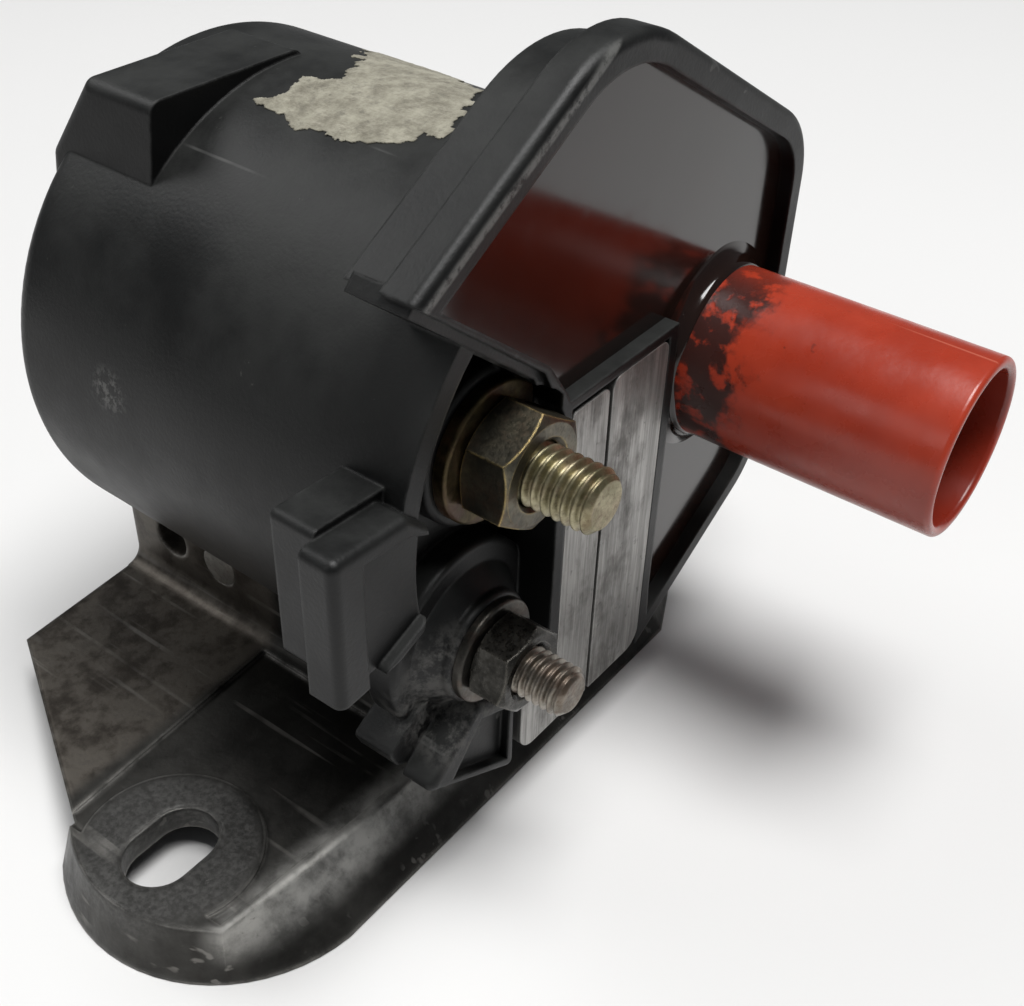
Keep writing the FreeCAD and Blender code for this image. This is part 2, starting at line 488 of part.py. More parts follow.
for x in (-SLOT_X, SLOT_X):
    slot = box(x - half, x + half, -SLOT_HALF_W, SLOT_HALF_W, -5, 20)
    for dx in (-half, half):
        slot = slot.fuse(Part.makeCylinder(SLOT_HALF_W, 25, V(x + dx, 0, -5)))
    foot = foot.cut(slot)
foot = Part.makeCompound([max(foot.Solids, key=lambda q: q.Volume)])
save("foot_bracket", foot)

rivets = []
for y in RIVET_YS:
    shank = Part.makeCylinder(RIVET_R, 2 * WALL_X, V(-WALL_X, y, RIVET_Z), V(1, 0, 0))
    rivets.append(shank)
save("core_rivets", Part.makeCompound(rivets))

# ---------------------------------------------------------------- torn paper remnant on the barrel
PAPER_T = 0.25
paper = [(-17.6, 14.3), (-12.0, 12.4), (-5.4, 12.9), (-0.8, 10.0), (10.0, 13.2), (19.3, 16.1), (25.0, 16.9),
         (29.0, 14.0), (27.5, 9.0), (16.9, 1.0), (4.0, -2.8), (-8.6, -4.6), (-17.5, 0.6), (-18.6, 5.8)]
ring = body_round(BARREL_R + PAPER_T, -10, 20).cut(body_round(BARREL_R + 0.01, -11, 21))
plan = [(BARREL_R * math.sin(math.radians(a)), y) for a, y in paper]
save("paper_remnant", ring.common(prism_z(plan, AXIS_Z, AXIS_Z + 40)))
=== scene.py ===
import math

import bmesh
import bpy
from mathutils import Matrix, Vector, noise


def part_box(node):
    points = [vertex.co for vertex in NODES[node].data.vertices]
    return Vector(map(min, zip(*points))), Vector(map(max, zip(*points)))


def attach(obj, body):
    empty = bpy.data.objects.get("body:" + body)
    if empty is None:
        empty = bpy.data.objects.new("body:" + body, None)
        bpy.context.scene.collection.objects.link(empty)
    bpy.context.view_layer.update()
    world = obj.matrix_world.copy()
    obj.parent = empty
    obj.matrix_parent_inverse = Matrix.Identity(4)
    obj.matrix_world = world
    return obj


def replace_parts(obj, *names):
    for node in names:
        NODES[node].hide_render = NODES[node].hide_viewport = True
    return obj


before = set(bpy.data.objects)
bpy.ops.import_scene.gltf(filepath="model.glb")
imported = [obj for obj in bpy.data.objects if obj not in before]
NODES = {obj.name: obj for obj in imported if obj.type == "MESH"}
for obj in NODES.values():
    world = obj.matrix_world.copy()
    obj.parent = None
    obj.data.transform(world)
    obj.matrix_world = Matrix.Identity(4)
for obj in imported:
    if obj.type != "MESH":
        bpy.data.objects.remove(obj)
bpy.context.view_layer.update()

COLL = bpy.context.collection
MM = 0.001


def centre(node):
    lo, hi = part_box(node)
    return (Vector(lo) + Vector(hi)) / 2


# ---------------------------------------------------------------- camera
CAM_POS = Vector((-0.0865, -0.0738, 0.1129))
CAM_AZ, CAM_EL, CAM_ROLL = 53.585, 38.016, 1.999
az, el = math.radians(CAM_AZ), math.radians(CAM_EL)
look = Vector((math.sin(az) * math.cos(el), math.cos(az) * math.cos(el), -math.sin(el)))
right = look.cross(Vector((0, 0, 1))).normalized()
up = right.cross(look)
cam_data = bpy.data.cameras.new("camera")
cam_data.sensor_width = 36.0
cam_data.lens = 47.83
cam_data.clip_start = 0.001
cam = bpy.data.objects.new("camera", cam_data)
COLL.objects.link(cam)
basis = Matrix((right, up, -look)).transposed()
roll = Matrix.Rotation(math.radians(CAM_ROLL), 4, "Z")
cam.matrix_world = Matrix.Translation(CAM_POS) @ basis.to_4x4() @ roll
bpy.context.scene.camera = cam


# ---------------------------------------------------------------- material helpers
class Mat:
    """A node material: small calls that add a node and return its output socket."""

    def __init__(self, name):
        self.mat = bpy.data.materials.new(name)
        self.mat.use_nodes = True
        self.tree = self.mat.node_tree
        self.bsdf = self.tree.nodes["Principled BSDF"]
        self.coord = self.tree.nodes.new("ShaderNodeTexCoord").outputs["Object"]

    def link(self, value, socket):
        if isinstance(value, bpy.types.NodeSocket):
            self.tree.links.new(value, socket)
        else:
            socket.default_value = value

    def scaled(self, scale=(1, 1, 1), rot=(0, 0, 0), loc=(0, 0, 0)):
        n = self.tree.nodes.new("ShaderNodeMapping")
        n.inputs["Scale"].default_value = scale
        n.inputs["Rotation"].default_value = [math.radians(a) for a in rot]
        n.inputs["Location"].default_value = loc
        self.tree.links.new(self.coord, n.inputs["Vector"])
        return n.outputs["Vector"]

    def noise(self, scale, detail=4.0, rough=0.55, vector=None, distort=0.0):
        n = self.tree.nodes.new("ShaderNodeTexNoise")
        n.inputs["Scale"].default_value = scale
        n.inputs["Detail"].default_value = detail
        n.inputs["Roughness"].default_value = rough
        n.inputs["Distortion"].default_value = distort
        self.tree.links.new(vector or self.coord, n.inputs["Vector"])
        return n.outputs["Fac"]

    def ramp(self, value, lo, hi, out_lo=0.0, out_hi=1.0):
        n = self.tree.nodes.new("ShaderNodeMapRange")
        n.interpolation_type = "SMOOTHSTEP"
        n.inputs["From Min"].default_value = lo
        n.inputs["From Max"].default_value = hi
        n.inputs["To Min"].default_value = out_lo
        n.inputs["To Max"].default_value = out_hi
        self.link(value, n.inputs["Value"])
        return n.outputs["Result"]

    def math(self, op, a, b=0.0, clamp=False):
        n = self.tree.nodes.new("ShaderNodeMath")
        n.operation = op
        n.use_clamp = clamp
        self.link(a, n.inputs[0])
        self.link(b, n.inputs[1])
        return n.outputs[0]

    def mix(self, fac, a, b):
        n = self.tree.nodes.new("ShaderNodeMix")
        n.data_type = "RGBA"
        self.link(fac, n.inputs["Factor"])
        for value, socket in ((a, n.inputs["A"]), (b, n.inputs["B"])):
            self.link(value if isinstance(value, bpy.types.NodeSocket) else (*value, 1.0), socket)
        return n.outputs["Result"]

    def axis(self, name, vector=None):
        n = self.tree.nodes.new("ShaderNodeSeparateXYZ")
        self.tree.links.new(vector or self.coord, n.inputs[0])
        return n.outputs[name]

    def normal(self):
        return self.tree.nodes.new("ShaderNodeNewGeometry").outputs["Normal"]

    def edge(self, radius, lo=0.02, hi=0.25):
        """1 at worn edges, from the difference between a bevelled and the plain normal."""
        bevel = self.tree.nodes.new("ShaderNodeBevel")
        bevel.samples = 4
        bevel.inputs["Radius"].default_value = radius
        dot = self.tree.nodes.new("ShaderNodeVectorMath")
        dot.operation = "DOT_PRODUCT"
        self.tree.links.new(bevel.outputs[0], dot.inputs[0])
        self.tree.links.new(self.normal(), dot.inputs[1])
        return self.ramp(self.math("SUBTRACT", 1.0, dot.outputs["Value"]), lo, hi)

    def near(self, point, radius, soft, scale=(1, 1, 1)):
        """1 inside a ball round a point, fading to 0 over the soft distance."""
        n = self.tree.nodes.new("ShaderNodeVectorMath")
        n.operation = "SUBTRACT"
        self.tree.links.new(self.coord, n.inputs[0])
        n.inputs[1].default_value = point
        m = self.tree.nodes.new("ShaderNodeVectorMath")
        m.operation = "MULTIPLY"
        self.tree.links.new(n.outputs[0], m.inputs[0])
        m.inputs[1].default_value = scale
        length = self.tree.nodes.new("ShaderNodeVectorMath")
        length.operation = "LENGTH"
        self.tree.links.new(m.outputs[0], length.inputs[0])
        return self.ramp(length.outputs["Value"], radius, radius + soft, 1.0, 0.0)

    def scratches(self, scale, rot, stretch=0.02, lo=0.70, hi=0.74, detail=2.0):
        v = self.scaled((1.0, stretch, 1.0), rot)
        return self.ramp(self.noise(scale, detail, 0.4, v), lo, hi)

    def bump(self, height, strength=0.3, distance=0.0002, bevel=0.0):
        n = self.tree.nodes.new("ShaderNodeBump")
        n.inputs["Strength"].default_value = strength
        n.inputs["Distance"].default_value = distance
        self.link(height, n.inputs["Height"])
        if bevel:
            b = self.tree.nodes.new("ShaderNodeBevel")
            b.samples = 4
            b.inputs["Radius"].default_value = bevel
            self.tree.links.new(b.outputs[0], n.inputs["Normal"])
        self.tree.links.new(n.outputs[0], self.bsdf.inputs["Normal"])

    def set(self, **values):
        for key, value in values.items():
            socket = self.bsdf.inputs[key.replace("_", " ")]
            if isinstance(value, tuple) and len(value) == 3:
                value = (*value, 1.0)
            self.link(value, socket)
        return self.mat


def paint(names, mat):
    for name in names if isinstance(names, (list, tuple)) else [names]:
        data = NODES[name].data
        data.materials.clear()
        data.materials.append(mat)
        for poly in data.polygons:
            poly.material_index = 0


# ---------------------------------------------------------------- materials
def housing_material():
    m = Mat("housing black")
    up = m.axis("Z", m.normal())
    # upward faces: real dust film plus painted light, the tops painted lighter as if lit from above
    upward_dust_and_light = m.ramp(up, 0.0, 0.95)
    cloud = m.noise(70, 6, 0.65)
    fleck = m.ramp(m.noise(1500, 3, 0.7), 0.66, 0.76)
    patch = m.ramp(m.noise(160, 5, 0.6), 0.5, 0.68)
    flecks = m.math("MULTIPLY", m.math("MULTIPLY", fleck, patch), m.ramp(up, -0.4, 0.5, 0.3, 1.0))
    hair = m.scratches(520, (20, 30, 70), 0.05, 0.72, 0.76)
    hair2 = m.scratches(640, (60, 10, -40), 0.04, 0.73, 0.77)
    hairs = m.math("MULTIPLY", m.math("MAXIMUM", hair, hair2), m.ramp(m.noise(90, 3), 0.5, 0.66))
    worn = m.math("MULTIPLY", m.edge(0.0005, 0.03, 0.3), m.ramp(m.noise(420, 5, 0.7), 0.38, 0.66))
    # dust film and painted top light: the upward faces are painted lighter
    dust_film_and_top_light = m.math("MULTIPLY", upward_dust_and_light, m.ramp(cloud, 0.3, 0.75, 0.2, 1.0))
    base = m.mix(dust_film_and_top_light, (0.0026, 0.0027, 0.0028), (0.032, 0.033, 0.0315))
    base = m.mix(m.math("MULTIPLY", flecks, 0.5), base, (0.12, 0.118, 0.11))
    base = m.mix(m.math("MULTIPLY", hairs, 0.45), base, (0.14, 0.14, 0.135))
    base = m.mix(m.math("MULTIPLY", worn, 0.4), base, (0.13, 0.13, 0.126))
    # rubbed front rim along the upper left slant of the cap
    slant = m.math("ADD", m.math("MULTIPLY", m.axis("X"), -0.5),
                   m.math("MULTIPLY", m.math("SUBTRACT", m.axis("Z"), 0.0405), 0.866))
    rubbed = m.math("MULTIPLY", m.ramp(slant, 0.0329, 0.0332), m.ramp(slant, 0.0335, 0.0340, 1.0, 0.0))
    rubbed = m.math("MULTIPLY", rubbed, m.ramp(m.axis("Y"), -0.0197, -0.0192, 1.0, 0.0))
    rubbed = m.math("MULTIPLY", rubbed, m.ramp(m.noise(700, 5, 0.75), 0.34, 0.56))
    base = m.mix(m.math("MULTIPLY", rubbed, 0.6), base, (0.20, 0.20, 0.19))
    # grease and resin smeared round the lower stud
    smear_at = centre("nut_m5") + Vector((-0.003, 0.003, -0.003))
    smear = m.math("MULTIPLY", m.near(smear_at, 0.0055, 0.0035), m.ramp(m.noise(520, 6, 0.75), 0.42, 0.62))
    base = m.mix(m.math("MULTIPLY", smear, 0.5), base, (0.17, 0.165, 0.155))
    # painted highlight: a light blotch low on the side of the round body
    glint_at = (-0.0264, 0.016, 0.0445)
    painted_glint = m.math("MULTIPLY", m.near(glint_at, 0.0008, 0.0022), m.ramp(m.noise(900, 6, 0.75), 0.46, 0.58))
    base = m.mix(m.math("MULTIPLY", painted_glint, 0.6), base, (0.16, 0.158, 0.15))
    rough = m.ramp(cloud, 0.25, 0.8, 0.36, 0.54)
    rough = m.math("ADD", rough, m.math("MULTIPLY", smear, 0.2))
    relief = m.math("ADD", m.noise(2600, 3, 0.6), m.math("MULTIPLY", smear, m.noise(1500, 5, 0.8)))
    m.bump(relief, 0.14, 0.0002, bevel=0.0004)
    return m.set(Base_Color=base, Roughness=rough, Specular_IOR_Level=0.3)


def resin_material():
    m = Mat("potting resin")
    deep = m.noise(45, 3, 0.5)
    base = m.mix(m.ramp(deep, 0.3, 0.7), (0.009, 0.0048, 0.0036), (0.017, 0.0075, 0.0055))
    dust = m.math("MULTIPLY", m.ramp(m.noise(2200, 2, 0.6), 0.72, 0.78), m.ramp(m.noise(200, 3), 0.5, 0.7))
    base = m.mix(m.math("MULTIPLY", dust, 0.5), base, (0.2, 0.18, 0.17))
    wipe = m.scratches(300, (0, 0, 15), 0.2, 0.6, 0.8)
    rough = m.ramp(m.noise(80, 4, 0.6), 0.3, 0.75, 0.1, 0.17)
    rough = m.math("ADD", rough, m.math("MULTIPLY", wipe, 0.06))
    m.bump(m.noise(34, 2, 0.4), 0.35, 0.0006)
    m.bsdf.inputs["Coat Weight"].default_value = 0.12
    m.bsdf.inputs["Coat Roughness"].default_value = 0.06
    return m.set(Base_Color=base, Roughness=rough)


def core_material():
    m = Mat("core steel")
    lines = m.noise(5200, 2, 0.6, m.scaled((1.0, 1.0, 0.02)))
    broad = m.noise(900, 3, 0.6, m.scaled((1.0, 1.0, 0.1)))
    stain = m.ramp(m.noise(150, 6, 0.7, m.scaled((1, 1, 0.55))), 0.44, 0.66)
    spots = m.ramp(m.noise(700, 4, 0.7), 0.6, 0.72)
    base = m.mix(m.ramp(broad, 0.3, 0.75), (0.25, 0.245, 0.235), (0.44, 0.432, 0.415))
    base = m.mix(m.math("MULTIPLY", m.ramp(lines, 0.4, 0.65), 0.3), base, (0.13, 0.125, 0.12))
    base = m.mix(m.math("MULTIPLY", stain, 0.7), base, (0.075, 0.07, 0.064))
    base = m.mix(m.math("MULTIPLY", spots, 0.6), base, (0.05, 0.047, 0.043))
    base = m.mix(m.math("MULTIPLY", m.edge(0.0003), 0.5), base, (0.55, 0.54, 0.52))
    rough = m.math("ADD", m.ramp(lines, 0.3, 0.7, 0.36, 0.5), m.math("MULTIPLY", stain, 0.15))
    m.bump(m.math("ADD", lines, m.math("MULTIPLY", spots, -0.5)), 0.22, 0.00012, bevel=0.0002)
    return m.set(Base_Color=base, Roughness=rough, Metallic=0.85)


def foot_material():
    m = Mat("foot steel")
    big = m.noise(60, 6, 0.65)
    mid = m.noise(260, 6, 0.7)
    grain = m.noise(1800, 4, 0.7)
    # painted light: the rear flange is painted lighter as if lit, the rest of the foot darker as if shaded
    # under the coil
    rear = m.ramp(m.axis("Y"), 0.0115, 0.0135)
    base = m.mix(m.ramp(big, 0.35, 0.68), (0.022, 0.021, 0.019), (0.062, 0.060, 0.055))
    lit_flange_tone = m.mix(m.ramp(mid, 0.35, 0.7), (0.055, 0.047, 0.039), (0.15, 0.135, 0.115))
    base = m.mix(rear, base, lit_flange_tone)
    base = m.mix(m.math("MULTIPLY", m.ramp(mid, 0.52, 0.7), 0.5), base, (0.03, 0.027, 0.024))
    slot = (-0.0395, 0.0, 0.006)
    soft = m.math("MULTIPLY", m.math("SUBTRACT", m.noise(220, 4, 0.6), 0.5), 0.006)
    pad = m.near(slot, 0.0072, 0.0028, (1, 1, 0.15))
    pad = m.math("MULTIPLY", pad, m.ramp(m.math("ADD", m.axis("Z"), soft), 0.003, 0.005))
    pad_tone = m.mix(m.ramp(grain, 0.35, 0.65), (0.055, 0.054, 0.052), (0.13, 0.128, 0.123))
    base = m.mix(m.math("MULTIPLY", pad, 0.6), base, pad_tone)
    fine = m.scratches(900, (0, 0, -38), 0.03, 0.62, 0.70)
    long = m.scratches(420, (0, 0, -78), 0.015, 0.66, 0.70)
    scr = m.math("MULTIPLY", m.math("MAXIMUM", fine, long), m.ramp(m.noise(110, 3), 0.42, 0.62))
    base = m.mix(m.math("MULTIPLY", scr, 0.45), base, (0.34, 0.325, 0.30))
    # painted highlight along the front ridge
    ridge_highlight = m.near((-0.030, -0.0128, 0.0055), 0.0012, 0.0034, (0.12, 1.0, 1.0))
    base = m.mix(m.math("MULTIPLY", ridge_highlight, m.ramp(mid, 0.3, 0.66, 0.35, 0.95)), base, (0.52, 0.51, 0.48))
    worn = m.math("MULTIPLY", m.edge(0.0006, 0.02, 0.25), m.ramp(mid, 0.3, 0.6))
    base = m.mix(m.math("MULTIPLY", worn, 0.65), base, (0.50, 0.485, 0.45))
    pits = m.ramp(m.noise(1100, 5, 0.75), 0.62, 0.72)
    base = m.mix(m.math("MULTIPLY", pits, 0.55), base, (0.03, 0.027, 0.024))
    rough = m.ramp(mid, 0.3, 0.75, 0.34, 0.52)
    m.bump(m.math("ADD", grain, m.math("MULTIPLY", pits, -1.0)), 0.2, 0.00018, bevel=0.0009)
    return m.set(Base_Color=base, Roughness=rough, Metallic=0.75)


def tower_material():
    m = Mat("outlet orange red")
    c = centre("ht_tower")
    cloud = m.noise(90, 4, 0.6)
    base = m.mix(m.ramp(cloud, 0.3, 0.72), (0.35, 0.034, 0.014), (0.45, 0.05, 0.022))
    # painted shade: downward-facing surfaces darkened
    underside_shade = m.ramp(m.axis("Z", m.normal()), -0.75, 0.25, 0.55, 0.0)
    base = m.mix(underside_shade, base, (0.10, 0.016, 0.010))
    # painted shade: darker inside the bore
    bore_shade = m.near((c.x, 0, c.z), 0.0079, 0.0002, (1, 0, 1))
    base = m.mix(m.math("MULTIPLY", bore_shade, 0.55), base, (0.16, 0.016, 0.01))
    y = m.math("ADD", m.axis("Y"), m.math("MULTIPLY", m.math("SUBTRACT", m.noise(260, 5, 0.7), 0.5), 0.012))
    smear = m.ramp(y, -0.0268, -0.0238)
    left = m.ramp(m.axis("X"), c.x - 0.004, c.x + 0.004, 1.0, 0.35)
    smear = m.math("MULTIPLY", m.math("MULTIPLY", smear, left), m.ramp(m.noise(420, 4, 0.6), 0.36, 0.5))
    dots = m.math("MULTIPLY", m.ramp(m.noise(800, 2, 0.5), 0.71, 0.75), m.ramp(m.axis("Y"), -0.042, -0.024))
    dark = m.math("MAXIMUM", smear, m.math("MULTIPLY", dots, 0.6))
    base = m.mix(m.math("MULTIPLY", dark, 0.92), base, (0.018, 0.014, 0.013))
    s1 = m.scratches(420, (0, 25, 50), 0.03, 0.71, 0.735)
    s2 = m.scratches(380, (10, -40, 20), 0.04, 0.73, 0.755)
    s3 = m.scratches(500, (0, 70, -30), 0.03, 0.73, 0.75)
    scr = m.math("MAXIMUM", m.math("MAXIMUM", s1, s2), s3)
    base = m.mix(m.math("MULTIPLY", scr, 0.4), base, (0.66, 0.2, 0.13))
    base = m.mix(m.math("MULTIPLY", m.edge(0.0004), 0.25), base, (0.6, 0.14, 0.08))
    rough = m.math("ADD", m.ramp(m.noise(300, 4), 0.3, 0.7, 0.24, 0.34), m.math("MULTIPLY", scr, 0.15))
    m.bump(m.math("ADD", m.noise(1200, 3), m.math("MULTIPLY", smear, 1.2)), 0.1, 0.00015)
    m.bsdf.inputs["Subsurface Weight"].default_value = 0.05
    m.bsdf.inputs["Subsurface Scale"].default_value = 0.001
    return m.set(Base_Color=base, Roughness=rough)


def metal(name, dark, light, edge_tone, edge_amount, rust=0.0, rust_tone=(0.2, 0.07, 0.02), rough=(0.3, 0.45),
          grime=0.4, seed=0.0):
    m = Mat(name)
    v = m.scaled(loc=(seed, seed * 2, -seed))
    cloud = m.noise(380, 6, 0.7, v)
    fine = m.noise(2400, 4, 0.7, v)
    base = m.mix(m.ramp(cloud, 0.35, 0.68), dark, light)
    base = m.mix(m.math("MULTIPLY", m.ramp(fine, 0.5, 0.72), grime), base, (0.03, 0.027, 0.022))
    worn = m.math("MULTIPLY", m.edge(0.00035, 0.02, 0.2), m.ramp(fine, 0.25, 0.6))
    base = m.mix(m.math("MULTIPLY", worn, edge_amount), base, edge_tone)
    rusty = m.math("MULTIPLY", m.ramp(m.noise(300, 6, 0.75, v), 0.45, 0.62), rust)
    base = m.mix(rusty, base, rust_tone)
    m.bump(m.math("ADD", fine, m.math("MULTIPLY", cloud, 0.6)), 0.25, 0.00012, bevel=0.00022)
    metallic = m.math("SUBTRACT", 0.9, m.math("MULTIPLY", rusty, 0.6))
    return m.set(Base_Color=base, Roughness=m.ramp(fine, 0.3, 0.7, *rough), Metallic=metallic)


def plain_matte(name, a, b, scale=300, rough=0.6, metallic=0.0):
    m = Mat(name)
    n = m.noise(scale, 5, 0.65)
    m.bump(m.noise(scale * 4, 3), 0.15, 0.0001)
    tone = m.mix(m.ramp(n, 0.3, 0.7), a, b)
    return m.set(Base_Color=tone, Roughness=m.ramp(n, 0.3, 0.7, rough - 0.08, rough + 0.08),
                 Metallic=metallic)


def paper_material():
    m = Mat("torn paper")
    n = m.noise(420, 8, 0.75)
    fib = m.noise(1800, 5, 0.8, m.scaled((1, 0.25, 1), (0, 0, 35)))
    dirt = m.ramp(m.noise(1000, 6, 0.8), 0.52, 0.66)
    base = m.mix(m.ramp(n, 0.3, 0.7), (0.17, 0.155, 0.115), (0.42, 0.40, 0.315))
    base = m.mix(m.math("MULTIPLY", dirt, 0.45), base, (0.1, 0.092, 0.075))
    base = m.mix(m.math("MULTIPLY", m.ramp(fib, 0.5, 0.7), 0.3), base, (0.56, 0.52, 0.43))
    m.bump(m.math("ADD", n, fib), 0.8, 0.0003)
    m.bsdf.inputs["Sheen Weight"].default_value = 0.15
    return m.set(Base_Color=base, Roughness=0.9)


HOUSING = housing_material()
RESIN = resin_material()
CORE = core_material()
FOOT = foot_material()
TOWER = tower_material()
ZINC_DARK = metal("zinc nut", (0.075, 0.07, 0.055), (0.16, 0.145, 0.105), (0.80, 0.60, 0.24), 1.0, 0.15,
                  grime=0.5)
ZINC_WASHER = metal("zinc washer", (0.045, 0.034, 0.018), (0.13, 0.10, 0.048), (0.45, 0.33, 0.15), 0.35, 0.85,
                    (0.06, 0.024, 0.009), seed=0.3)
THREAD_M6 = metal("stud zinc", (0.20, 0.18, 0.10), (0.42, 0.38, 0.25), (0.62, 0.56, 0.38), 0.5, 0.25,
                  (0.16, 0.05, 0.03), seed=0.6)
THREAD_M5 = metal("stud brown", (0.12, 0.105, 0.085), (0.30, 0.275, 0.235), (0.5, 0.46, 0.4), 0.5, 0.2,
                  seed=0.9)
NUT_M5 = metal("greasy nut", (0.02, 0.019, 0.017), (0.07, 0.067, 0.06), (0.34, 0.32, 0.28), 0.6, 0.0,
               rough=(0.22, 0.42), grime=0.5, seed=1.2)
WASHER_M5 = metal("dull washer", (0.05, 0.047, 0.042), (0.12, 0.115, 0.1), (0.3, 0.28, 0.25), 0.4, 0.1,
                  seed=1.5)
RIVET = metal("rivet steel", (0.28, 0.27, 0.25), (0.5, 0.49, 0.46), (0.6, 0.58, 0.55), 0.4, 0.1, seed=1.8)
COPPER = metal("enamelled copper", (0.3, 0.1, 0.03), (0.5, 0.2, 0.07), (0.6, 0.3, 0.12), 0.3,
               seed=2.1, grime=0.1)
BRASS = metal("tarnished brass", (0.3, 0.2, 0.07), (0.45, 0.33, 0.13), (0.6, 0.45, 0.2), 0.4, 0.1, seed=2.4)
PAPER = paper_material()
BOARD = plain_matte("insulation board", (0.35, 0.26, 0.14), (0.5, 0.4, 0.25))
BOBBIN = plain_matte("bobbin plastic", (0.5, 0.46, 0.38), (0.6, 0.56, 0.48), rough=0.5)

paint("housing", HOUSING)
paint("potting_resin", RESIN)
paint(["core_front_left", "core_front_right", "core_rear_yoke", "core_centre_limb"], CORE)
paint(["air_gap_shim", "core_sleeve"], BOARD)
paint(["primary_bobbin", "secondary_bobbin"], BOBBIN)
paint(["primary_winding", "secondary_winding", "primary_lead_start", "primary_lead_end", "ht_lead"], COPPER)
paint("ht_tower", TOWER)
paint("ht_contact", BRASS)
paint("nut_m6", ZINC_DARK)
paint("washer_m6", ZINC_WASHER)
paint("nut_m5", NUT_M5)
paint("washer_m5", WASHER_M5)
paint("foot_bracket", FOOT)
paint("core_rivets", RIVET)


# ---------------------------------------------------------------- mesh helpers
def make(name, verts, faces, mat, body="coil", smooth=True):
    mesh = bpy.data.meshes.new(name)
    mesh.from_pydata([tuple(v) for v in verts], [], faces)
    mesh.validate()
    ob = bpy.data.objects.new(name, mesh)
    COLL.objects.link(ob)
    mesh.materials.append(mat)
    for poly in mesh.polygons:
        poly.use_smooth = smooth
    bm = bmesh.new()
    bm.from_mesh(mesh)
    bmesh.ops.recalc_face_normals(bm, faces=bm.faces)
    bm.to_mesh(mesh)
    bm.free()
    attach(ob, body)
    return ob


def threaded_rod(name, node, pitch, mat):
    """A stud with a helical thread and a chamfered end, replacing its CAD node."""
    lo, hi = (Vector(p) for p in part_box(node))
    cx, cz = (lo.x + hi.x) / 2, (lo.z + hi.z) / 2
    r = {"stud_m6": 0.003, "stud_m5": 0.0025}[node] - 0.00003
    depth = 0.6134 * pitch
    seg, lead = 48, 0.00075
    step = pitch / 12
    y0, y1 = lo.y + 0.00002, centre(node.replace("stud", "washer")).y + 0.0012
    rows = int((y1 - y0) / step)
    verts, faces = [], []
    for i in range(rows + 1):
        y = y0 + (y1 - y0) * i / rows
        for k in range(seg):
            a = 2 * math.pi * k / seg
            t = ((y - y0) / pitch - k / seg) % 1.0
            tooth = max(0.0, min(1.0, (abs(t - 0.5) * 2 - 0.10) / 0.80))
            wear = 0.00002 * noise.noise(Vector((math.cos(a) * 4, math.sin(a) * 4, y * 3000)))
            rr = r - depth * (1 - tooth) + wear
            rr = min(rr, r - max(0.0, lead - (y - y0)))
            verts.append((cx + rr * math.cos(a), y, cz + rr * math.sin(a)))
    for i in range(rows):
        for k in range(seg):
            n = (k + 1) % seg
            faces.append((i * seg + k, i * seg + n, (i + 1) * seg + n, (i + 1) * seg + k))
    faces.append(tuple(range(seg))[::-1])
    faces.append(tuple(rows * seg + k for k in range(seg)))
    ob = make(name, verts, faces, mat)
    for poly in ob.data.polygons:
        if len(poly.vertices) > 4:
            poly.use_smooth = False
    return ob


for label, pitch, mat in (("m6", 0.001, THREAD_M6), ("m5", 0.0008, THREAD_M5)):
    rod = threaded_rod("thread_" + label, "stud_" + label, pitch, mat)
    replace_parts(rod, "stud_" + label)


def torn_paper():
    """A ragged, slightly lifted remnant of paper lying on the round body."""
    lo, hi = (Vector(p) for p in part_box("paper_remnant"))
    axis_z, radius = 0.0405, 0.0267
    # (degrees round the body from its crown, mm along it)
    outline = [(-17.6, 14.3), (-12.0, 12.4), (-5.4, 12.9), (-0.8, 10.0), (10.0, 13.2), (19.3, 16.1),
               (25.0, 16.9), (29.0, 14.0), (27.5, 9.0), (16.9, 1.0), (4.0, -2.8), (-8.6, -4.6), (-17.5, 0.6), (-18.6, 5.8)]

    def inside(a, y):
        hit = False
        for (a0, y0), (a1, y1) in zip(outline, outline[1:] + outline[:1]):
            if (y0 > y) != (y1 > y) and a < (a1 - a0) * (y - y0) / (y1 - y0) + a0:
                hit = not hit
        return hit

    rows, cols = 150, 190
    verts, index, faces = [], {}, []
    for i in range(rows):
        for j in range(cols):
            y = -6.0 + 24.5 * i / (rows - 1)
            a = -21.0 + 52.0 * j / (cols - 1)
            p = Vector((a * 0.11, y * 0.25, 0))
            jag_a = 1.9 * noise.noise(p * 2.2) + 0.9 * noise.noise(p * 7.0)
            jag_y = 1.2 * noise.noise(p * 2.4 + Vector((9, 0, 0)))
            jag_y += 0.5 * noise.noise(p * 8.0 + Vector((3, 0, 0)))
            if not inside(a + jag_a, y + jag_y):
                continue
            index[i, j] = len(verts)
            lift = 0.05 + 0.10 * abs(noise.noise(p * 3.0)) + 0.06 * abs(noise.noise(p * 11.0))
            rr = radius + min(lift, 0.24) * MM + 0.00002
            rad = math.radians(a)
            rise = 0.3 * MM * (y * MM + 0.0186) / 0.0485
            verts.append((rr * math.sin(rad), y * MM, axis_z + rr * math.cos(rad) + rise))
    for i in range(rows - 1):
        for j in range(cols - 1):
            ids = [index.get(q) for q in ((i, j), (i, j + 1), (i + 1, j + 1), (i + 1, j))]
            if None not in ids:
                faces.append(tuple(ids))
    used = sorted({v for f in faces for v in f})
    remap = {v: n for n, v in enumerate(used)}
    faces = [tuple(remap[v] for v in f) for f in faces]
    ob = make("torn_paper", [verts[v] for v in used], faces, PAPER)
    thick = ob.modifiers.new("thickness", "SOLIDIFY")
    thick.thickness = 0.00012
    thick.offset = -1.0
    return ob


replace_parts(torn_paper(), "paper_remnant")


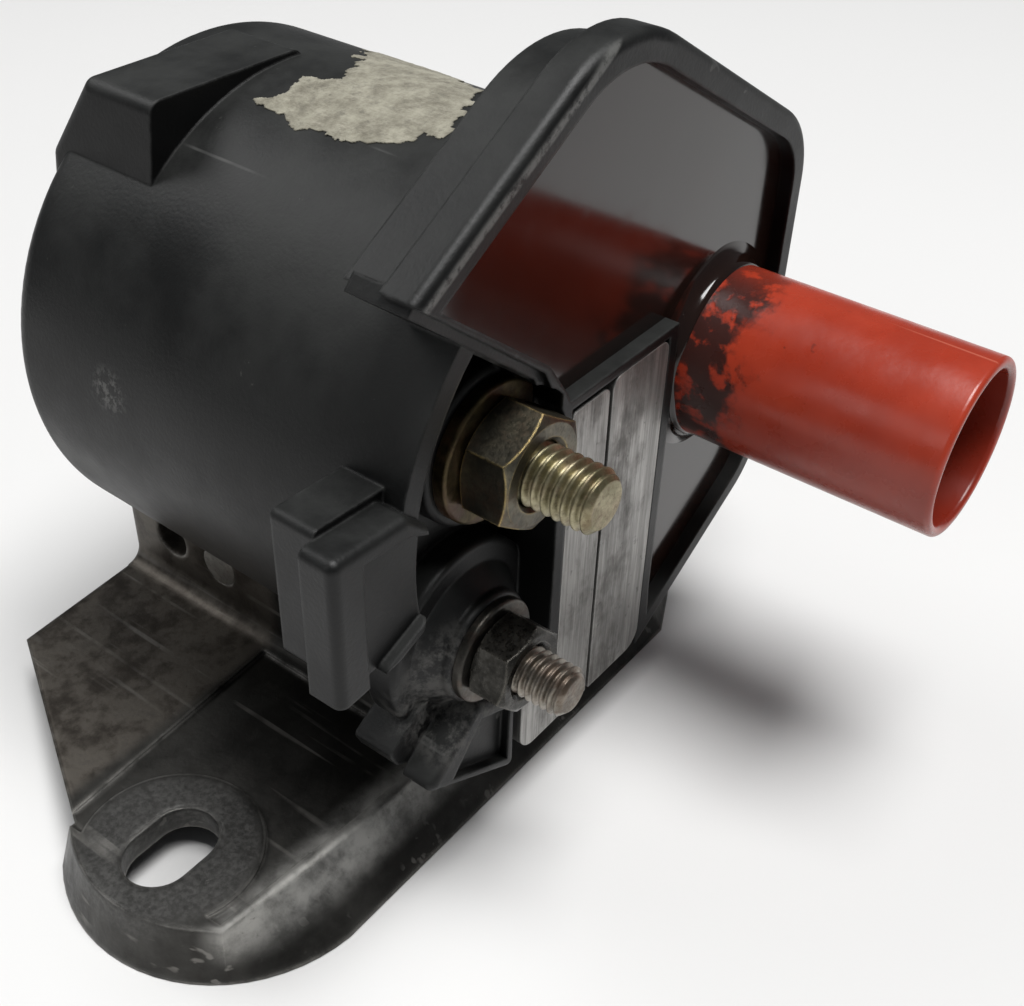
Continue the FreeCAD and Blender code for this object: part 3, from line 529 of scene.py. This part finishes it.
def lathe(name, profile, centre_xz, mat, seg=64, wobble=0.0, seed=0.0):
    """Turns (radius, y) points round an axis along Y."""
    verts, faces = [], []
    for r, y in profile:
        for k in range(seg):
            a = 2 * math.pi * k / seg
            w = 1 + wobble * noise.noise(Vector((math.cos(a) * 1.3 + seed, math.sin(a) * 1.3, y * 200)))
            verts.append((centre_xz[0] + r * w * math.cos(a), y, centre_xz[1] + r * w * math.sin(a)))
    for i in range(len(profile) - 1):
        for k in range(seg):
            n = (k + 1) % seg
            faces.append((i * seg + k, i * seg + n, (i + 1) * seg + n, (i + 1) * seg + k))
    return make(name, verts, faces, mat)


# resin drawn up round the outlet
SKIN_Y = -0.0183
tower = centre("ht_tower")
TOWER_R = 0.00905
# (mm out from the outlet's wall, mm forward of the resin's skin)
MENISCUS_MM = [(2.1, -0.1), (1.6, 0.1), (0.9, 0.35), (0.5, 0.7), (0.2, 1.2), (0.0, 1.8), (-0.5, 1.6),
               (-0.5, -0.4), (2.1, -0.4)]
meniscus = [(TOWER_R + out * MM, SKIN_Y - forward * MM) for out, forward in MENISCUS_MM]
lathe("resin_meniscus", meniscus, (tower.x, tower.z), RESIN, 96, 0.035, 2.0)

# ---------------------------------------------------------------- floor and light
bpy.ops.mesh.primitive_plane_add(size=3.0, location=(0, 0, -0.0001))
floor = bpy.context.object
floor.name = "floor"
fm = Mat("floor")
fm.bump(fm.noise(900, 3), 0.05, 0.0002)
floor_tone = fm.mix(fm.noise(6, 2), (0.80, 0.795, 0.785), (0.84, 0.835, 0.825))
floor.data.materials.append(fm.set(Base_Color=floor_tone, Roughness=0.55))

world = bpy.data.worlds.new("world")
bpy.context.scene.world = world
world.use_nodes = True
world.node_tree.nodes["Background"].inputs["Color"].default_value = (0.90, 0.94, 1.0, 1)
world.node_tree.nodes["Background"].inputs["Strength"].default_value = 0.09


def area(name, loc, size, power, target=(0, 0, 0.03), size_y=None, colour=(1, 1, 1)):
    data = bpy.data.lights.new(name, "AREA")
    data.energy = power
    data.color = colour
    data.size = size
    if size_y:
        data.shape = "RECTANGLE"
        data.size_y = size_y
    ob = bpy.data.objects.new(name, data)
    COLL.objects.link(ob)
    ob.location = loc
    ob.rotation_euler = (Vector(target) - Vector(loc)).to_track_quat("-Z", "Y").to_euler()
    return ob


area("key", (0.08, -0.17, 0.95), 0.44, 9.6, target=(0.03, -0.03, 0.0))
area("fill", (-0.9, 0.3, 0.6), 0.35, 0.7)
area("back", (-0.15, 0.7, 0.75), 0.5, 2.4)
bpy.context.scene.view_settings.view_transform = "Standard"
